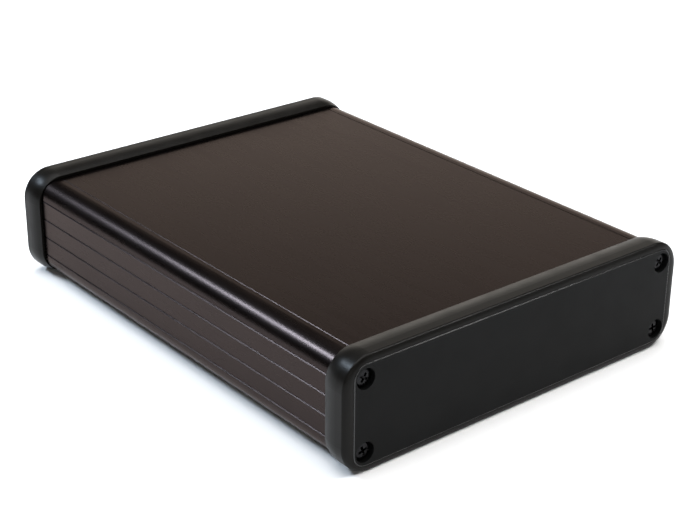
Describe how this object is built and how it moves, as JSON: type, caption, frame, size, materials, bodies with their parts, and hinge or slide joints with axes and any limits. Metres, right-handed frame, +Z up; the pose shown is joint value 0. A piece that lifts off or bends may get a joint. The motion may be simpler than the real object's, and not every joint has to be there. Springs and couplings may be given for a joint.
{
  "type": "logic analyzer",
  "caption": "PC-linked logic analyzer in a slide-together extruded case, with a blank front end and its connectors at the rear.",
  "frame": {"origin": "under the middle of the whole object, on the surface that it stands on", "axes": "+Y from the blank front end to the connector end, +Z up, +X to the right seen from the front"},
  "size_m": [0.1252, 0.1722, 0.0342],
  "materials": {
    "case_anodising": "fine-grained dark bronze-black anodising",
    "bezel_plastic": "satin moulded black plastic",
    "panel_plastic": "flat, finely textured black plastic",
    "black_steel": "black oxide steel",
    "board_laminate": "green solder mask over glass-epoxy laminate",
    "chip_epoxy": "fine matt moulding compound",
    "tinned_lead": "tin-plated copper alloy",
    "thermal_pad": "soft grey silicone",
    "heatsink_black": "black anodised extrusion",
    "resistor_body": "black glaze over white ceramic",
    "capacitor_body": "tan ceramic",
    "steel_can": "drawn nickel-plated can",
    "capacitor_can": "bright drawn can",
    "black_base": "moulded base",
    "ferrite": "pressed ferrite",
    "fuse_body": "green coated body",
    "gold_pin": "gold flash over brass",
    "connector_plastic": "glass-filled black moulding",
    "insert_plastic": "white moulding",
    "switch_plastic": "glossy black moulding",
    "nickel": "bright nickel plate over brass",
    "ptfe": "white insulator",
    "button_plastic": "grey moulding",
    "light_lens": "tinted clear epoxy",
    "wire_insulation": "red insulation"
  },
  "bodies": {
    "case": {"case_extrusion": "case_anodising"},
    "front_end": {"front_bezel": "bezel_plastic", "front_panel": "panel_plastic", "front_screws": "black_steel"},
    "cover": {"cover_plate": "case_anodising"},
    "rear_end": {"rear_bezel": "bezel_plastic", "rear_panel": "panel_plastic", "rear_screws": "black_steel", "main_board": "board_laminate", "logic_chip": "chip_epoxy", "logic_chip_leads": "tinned_lead", "capture_memory": "chip_epoxy", "capture_memory_leads": "tinned_lead", "usb_controller": "chip_epoxy", "usb_controller_leads": "tinned_lead", "input_buffers": "chip_epoxy", "input_buffer_leads": "tinned_lead", "configuration_flash": "chip_epoxy", "configuration_flash_leads": "tinned_lead", "thermal_pad": "thermal_pad", "heatsink": "heatsink_black", "termination_resistors": "resistor_body", "decoupling_capacitors": "capacitor_body", "reference_oscillator": "steel_can", "link_crystal": "steel_can", "power_inductors": "ferrite", "input_fuse": "fuse_body", "capacitor_bases": "black_base", "bulk_capacitors": "capacitor_can", "regulators": "chip_epoxy", "regulator_tabs": "tinned_lead", "service_header_base": "connector_plastic", "service_header_pins": "gold_pin", "switch_housing": "switch_plastic", "switch_blades": "tinned_lead", "switch_wires": "wire_insulation", "power_jack_body": "connector_plastic", "power_jack_pin": "nickel", "trigger_socket_body": "nickel", "trigger_socket_insulator": "ptfe", "trigger_socket_contact": "gold_pin", "trigger_socket_washer": "nickel", "trigger_socket_nut": "nickel", "arm_switch_body": "connector_plastic", "usb_shell": "steel_can", "usb_insert": "insert_plastic", "usb_contacts": "gold_pin", "light_holder": "black_base", "status_lights": "light_lens", "probe_header_shroud": "connector_plastic", "probe_header_pins": "gold_pin"},
    "latch_left": {"header_latch_left": "connector_plastic"},
    "latch_right": {"header_latch_right": "connector_plastic"},
    "rocker": {"power_rocker": "switch_plastic"},
    "button": {"arm_button": "button_plastic"}
  },
  "joints": [
    {"name": "front_end_slide", "type": "slide", "parent": "case", "child": "front_end", "axis": [0, -1, 0], "range_m": [0, 0.18]},
    {"name": "cover_slide", "type": "slide", "parent": "case", "child": "cover", "axis": [0, -1, 0], "range_m": [0, 0.16]},
    {"name": "rear_end_slide", "type": "slide", "parent": "case", "child": "rear_end", "axis": [0, 1, 0], "range_m": [0, 0.155]},
    {"name": "latch_left_turn", "type": "hinge", "parent": "rear_end", "child": "latch_left", "pos_m": [0.0121, 0.07715, 0.0162], "axis": [0, 0, 1], "range_deg": [0, 35]},
    {"name": "latch_right_turn", "type": "hinge", "parent": "rear_end", "child": "latch_right", "pos_m": [0.0487, 0.07715, 0.0162], "axis": [0, 0, -1], "range_deg": [0, 35]},
    {"name": "power_rocker_tip", "type": "hinge", "parent": "rear_end", "child": "rocker", "pos_m": [-0.045, 0.07555, 0.0187], "axis": [1, 0, 0], "range_deg": [0, 24]},
    {"name": "arm_button_press", "type": "slide", "parent": "rear_end", "child": "button", "axis": [0, -1, 0], "range_m": [0, 0.001], "stiffness_N_per_m": 1500}
  ],
  "couplings": [
    {"joint": "cover_slide", "follows": "front_end_slide", "ratio": 0.88}
  ]
}
